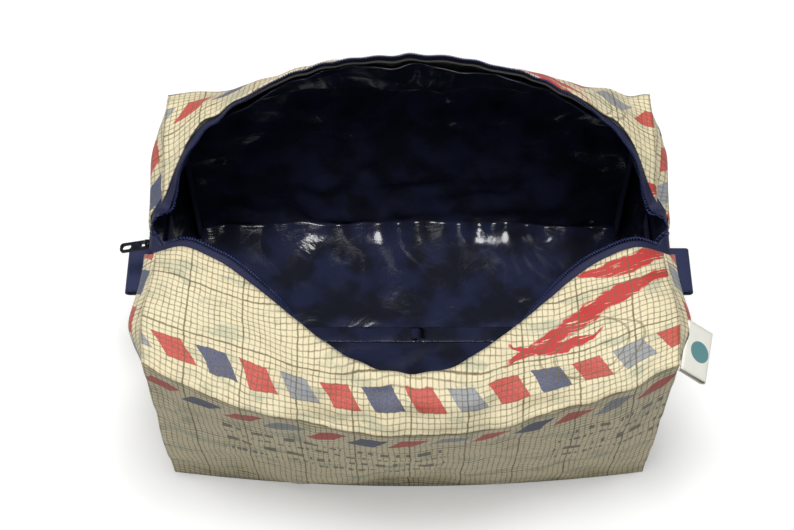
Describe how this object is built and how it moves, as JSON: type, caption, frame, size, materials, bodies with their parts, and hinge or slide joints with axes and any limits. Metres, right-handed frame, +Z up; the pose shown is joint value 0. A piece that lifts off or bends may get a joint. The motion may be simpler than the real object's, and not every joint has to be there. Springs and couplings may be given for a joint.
{
  "type": "makeup bag",
  "caption": "Soft box-shaped makeup bag in printed cloth with a dark glossy lining, standing with its zip open.",
  "frame": {"origin": "middle of the base, on the surface the bag stands on", "axes": "+Z up, +X along the bag to its right end, -Y to its front"},
  "size_m": [0.2829, 0.201, 0.1546],
  "materials": {
    "printed_cloth": "cream cotton with a fine olive grid and a clear coat",
    "interlining": "white soft felt",
    "lining": "glossy dark navy coated cloth",
    "zip_tape": "woven navy polyester",
    "zip_coil": "navy nylon coil",
    "zip_metal": "dark navy enamelled zinc",
    "webbing": "ribbed navy webbing",
    "label_ribbon": "plain white cotton ribbon",
    "binding": "navy bias tape"
  },
  "bodies": {
    "bag": {"outer_front_panel": "printed_cloth", "outer_back_panel": "printed_cloth", "front_interlining": "interlining", "back_interlining": "interlining", "lining_front_panel": "lining", "lining_back_panel": "lining", "zip_tape_front": "zip_tape", "zip_tape_back": "zip_tape", "zip_coil_front": "zip_coil", "zip_coil_back": "zip_coil", "zip_bottom_stop": "zip_metal", "zip_top_stops": "zip_metal", "left_end_tab": "webbing", "right_end_tab": "webbing", "side_label": "label_ribbon", "front_left_corner_binding": "binding", "front_right_corner_binding": "binding", "back_left_corner_binding": "binding", "back_right_corner_binding": "binding", "left_end_seam_binding": "binding", "right_end_seam_binding": "binding", "base_seam_binding": "binding"},
    "slider": {"slider_body": "zip_metal", "slider_bridge": "zip_metal"},
    "pull_tab": {"pull_tab": "zip_metal"}
  },
  "joints": [
    {"name": "slider_run", "type": "slide", "parent": "bag", "child": "slider", "axis": [0, 0, 1], "range_m": [0, 0.006]},
    {"name": "pull_tab_turn", "type": "hinge", "parent": "slider", "child": "pull_tab", "pos_m": [-0.1269, 0.003, 0.095], "axis": [0, 1, 0], "range_deg": [-74, 104]}
  ]
}
